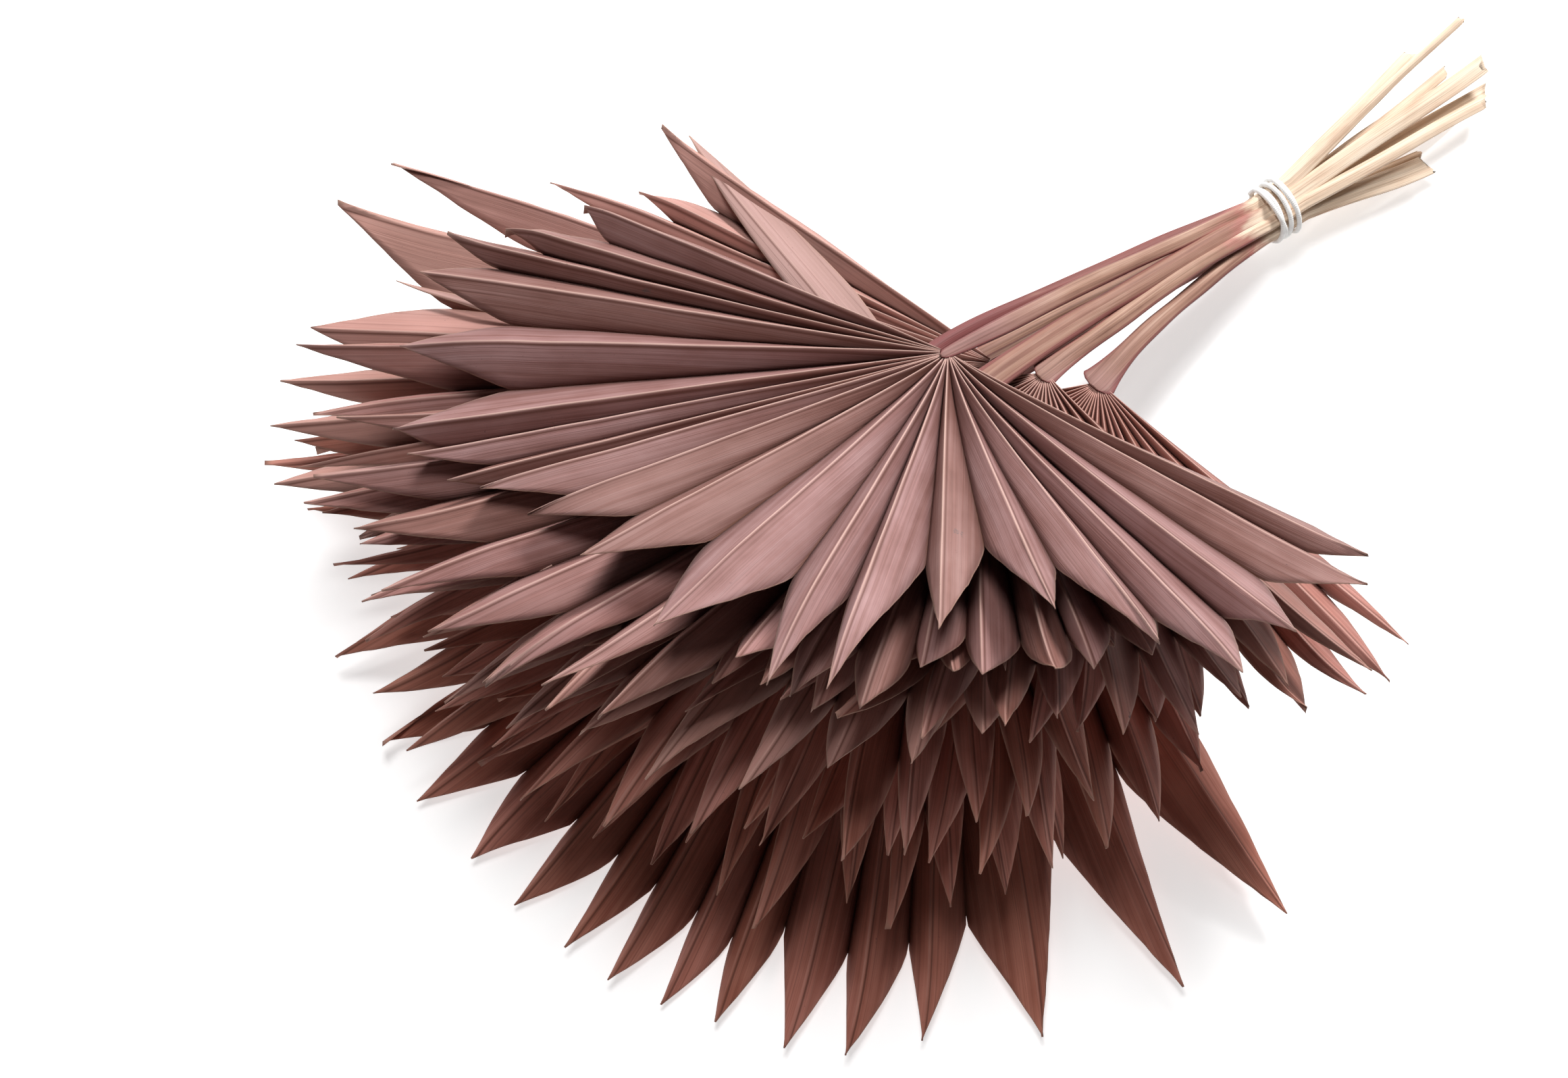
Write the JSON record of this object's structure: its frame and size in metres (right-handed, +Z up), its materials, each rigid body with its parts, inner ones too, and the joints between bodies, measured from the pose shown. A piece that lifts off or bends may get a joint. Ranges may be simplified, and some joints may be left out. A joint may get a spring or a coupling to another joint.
{
  "type": "dried palm frond bunch",
  "caption": "Bunch of dried, dyed fan palm fronds laid on its side: pleated fans with cut points on slim stems, gathered by a white elastic tie.",
  "frame": {"origin": "centre of the bounding box at its underside, on the surface the bunch lies on", "axes": "+X along the stems towards their cut ends, +Z up; the stack of blades rises towards -Y"},
  "size_m": [0.6014, 0.471, 0.2458],
  "materials": {
    "dyed_leaf": "dusty old-pink dye on a dry, finely ribbed leaf, matt",
    "dry_stem": "dry tan to straw-coloured leaf stalk, dyed maroon in places, matt",
    "white_elastic": "smooth white elastic cord"
  },
  "bodies": {
    "root": {"blade_01": "dyed_leaf", "blade_02": "dyed_leaf", "blade_03": "dyed_leaf", "blade_04": "dyed_leaf", "blade_05": "dyed_leaf", "blade_06": "dyed_leaf", "blade_07": "dyed_leaf", "blade_08": "dyed_leaf", "blade_09": "dyed_leaf", "blade_10": "dyed_leaf", "stem_01": "dry_stem", "stem_02": "dry_stem", "stem_03": "dry_stem", "stem_04": "dry_stem", "stem_05": "dry_stem", "stem_06": "dry_stem", "stem_07": "dry_stem", "stem_08": "dry_stem", "stem_09": "dry_stem", "stem_10": "dry_stem", "tie": "white_elastic"}
  },
  "joints": []
}
